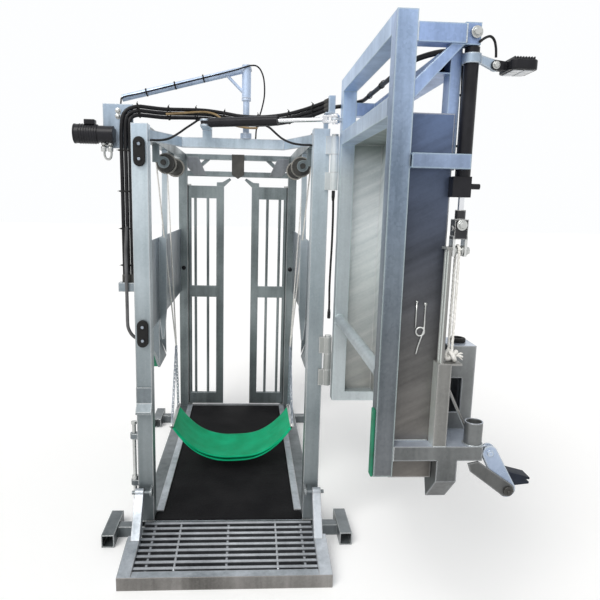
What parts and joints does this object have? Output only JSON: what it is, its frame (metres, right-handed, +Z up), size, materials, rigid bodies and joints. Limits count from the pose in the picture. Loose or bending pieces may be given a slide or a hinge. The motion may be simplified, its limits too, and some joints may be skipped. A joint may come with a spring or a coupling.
{
  "type": "hoof trimming chute",
  "caption": "Galvanised walk-through stall for hoof trimming, with a head gate, a belly strap, a loading ramp and a swinging rear door that carries the hydraulic leg-lift gear.",
  "frame": {"origin": "middle of the rear cross tube's underside, on the ground", "axes": "+X to the right as seen by the animal walking in, +Y along the stall towards the head gate, +Z up"},
  "size_m": [1.855, 3.015, 2.5234],
  "materials": {
    "galvanised": "hot-dip galvanised, spangled",
    "black_rubber": "matt, finely textured",
    "green_rubber": "matt",
    "green_strap": "satin woven band",
    "white_rope": "braided",
    "chain_steel": "galvanised chain",
    "hose_rubber": "smooth hose",
    "black_paint": "satin black",
    "chromed_rod": "polished",
    "zinc_steel": "zinc plated",
    "bright_zinc": "bright galvanised",
    "dark_aluminium": "black finned housing",
    "green_paint": "worn paint",
    "dark_steel": "weathered",
    "boom_steel": "galvanised tube"
  },
  "bodies": {
    "chute": {"cross_tubes": "galvanised", "side_rails": "galvanised", "feet": "galvanised", "floor_plate": "galvanised", "floor_mat": "black_rubber", "mat_edge_bars": "galvanised", "rear_posts": "galvanised", "front_posts": "galvanised", "side_top_rails": "galvanised", "roof_frame": "galvanised", "header_truss": "galvanised", "header_block": "dark_steel", "side_panels": "galvanised", "front_hoof_rests": "galvanised", "hoof_rest_pads": "green_rubber", "door_stops": "black_rubber", "stop_bolts": "zinc_steel", "post_brackets": "galvanised", "ramp_pivot_brackets": "galvanised", "post_hinges": "bright_zinc", "hinge_pins": "zinc_steel", "gate_hinge_pins": "zinc_steel", "winch_hangers": "galvanised", "motor": "black_paint", "motor_bracket": "galvanised", "boom_post": "boom_steel", "hoses": "hose_rubber", "strap_ropes": "white_rope"},
    "lock_pin": {"lock_pin": "zinc_steel"},
    "ramp": {"ramp_frame": "galvanised", "ramp_grating": "galvanised"},
    "rear_door": {"door_frame": "galvanised", "door_skin": "galvanised", "door_hinges": "bright_zinc", "door_outer_frame": "galvanised", "leg_cylinder": "black_paint", "leg_gear_post": "galvanised", "bottom_arm": "galvanised", "hoof_trough": "galvanised", "trough_buffer": "black_rubber", "leg_hook": "zinc_steel", "light_bracket": "galvanised", "leg_rope": "white_rope", "door_hoses": "hose_rubber"},
    "leg_lift": {"leg_rod": "chromed_rod", "rope_shackle": "zinc_steel"},
    "rope_pulley": {"shackle_pulley": "zinc_steel"},
    "hoof_lever": {"hoof_rest_lever": "galvanised", "lever_rubber": "black_rubber"},
    "work_light": {"work_light": "dark_aluminium"},
    "gate_left": {"gate_leaf_left": "galvanised"},
    "gate_right": {"gate_leaf_right": "galvanised"},
    "strap": {"belly_strap": "green_strap", "strap_chains": "chain_steel"},
    "winch_left": {"winch_shaft_left": "green_paint"},
    "winch_right": {"winch_shaft_right": "green_paint"},
    "door_ram": {"door_cylinder": "black_paint"},
    "door_ram_rod": {"door_cylinder_rod": "chromed_rod"},
    "boom": {"boom_arm": "boom_steel", "boom_cable": "hose_rubber"}
  },
  "joints": [
    {"name": "rear_door_swing", "type": "hinge", "parent": "chute", "child": "rear_door", "pos_m": [0.505, -0.045, 1.5], "axis": [0, 0, 1], "range_deg": [-88, 0]},
    {"name": "door_ram_swing", "type": "hinge", "parent": "chute", "child": "door_ram", "pos_m": [-0.14, 0.15, 2.196], "axis": [0, 0, 1], "range_deg": [0, 6]},
    {"name": "door_ram_slide", "type": "slide", "parent": "door_ram", "child": "door_ram_rod", "axis": [0.9138, -0.4061, 0], "range_m": [-0.1015, 0]},
    {"name": "ramp_lift", "type": "hinge", "parent": "chute", "child": "ramp", "pos_m": [0, -0.078, 0.285], "axis": [-1, 0, 0], "range_deg": [0, 75]},
    {"name": "lock_pin_lift", "type": "slide", "parent": "chute", "child": "lock_pin", "axis": [0, 0, 1], "range_m": [0, 0.08]},
    {"name": "leg_lift", "type": "slide", "parent": "rear_door", "child": "leg_lift", "axis": [0, 0, -1], "range_m": [0, 0.26], "deforming": ["leg_rope"]},
    {"name": "rope_pulley_spin", "type": "hinge", "parent": "leg_lift", "child": "rope_pulley", "pos_m": [0.775, -1.1, 1.662], "axis": [1, 0, 0], "continuous": true},
    {"name": "hoof_lever_swing", "type": "hinge", "parent": "rear_door", "child": "hoof_lever", "pos_m": [0.934, -1.112, 0.965], "axis": [0, -1, 0], "range_deg": [0, 110]},
    {"name": "work_light_tilt", "type": "hinge", "parent": "rear_door", "child": "work_light", "pos_m": [0.85, -1.1, 2.24], "axis": [0, 1, 0], "range_deg": [-30, 50]},
    {"name": "gate_left_swing", "type": "hinge", "parent": "chute", "child": "gate_left", "pos_m": [-0.383, 1.8225, 1], "axis": [0, 0, 1], "range_deg": [0, 80]},
    {"name": "gate_right_swing", "type": "hinge", "parent": "chute", "child": "gate_right", "pos_m": [0.383, 1.8225, 1], "axis": [0, 0, 1], "range_deg": [-80, 0]},
    {"name": "strap_lift", "type": "slide", "parent": "chute", "child": "strap", "axis": [0, 0, 1], "range_m": [0, 0.3], "deforming": ["strap_ropes"]},
    {"name": "winch_left_turn", "type": "hinge", "parent": "chute", "child": "winch_left", "pos_m": [-0.39, 0.75, 2.01], "axis": [0, 1, 0], "range_deg": [0, 311]},
    {"name": "winch_right_turn", "type": "hinge", "parent": "chute", "child": "winch_right", "pos_m": [0.39, 0.75, 2.01], "axis": [0, -1, 0], "range_deg": [0, 311]},
    {"name": "boom_swivel", "type": "hinge", "parent": "chute", "child": "boom", "pos_m": [0.068, 0.33, 2.4], "axis": [0, 0, 1], "range_deg": [-30, 20]}
  ],
  "couplings": [
    {"joint": "door_ram_swing", "follows": "rear_door_swing", "ratio": -0.066521},
    {"joint": "door_ram_slide", "follows": "rear_door_swing", "m_per_rad": 0.065586},
    {"joint": "gate_right_swing", "follows": "gate_left_swing", "ratio": -1},
    {"joint": "winch_left_turn", "follows": "strap_lift", "rad_per_m": 18.018},
    {"joint": "winch_right_turn", "follows": "strap_lift", "rad_per_m": 18.018}
  ]
}
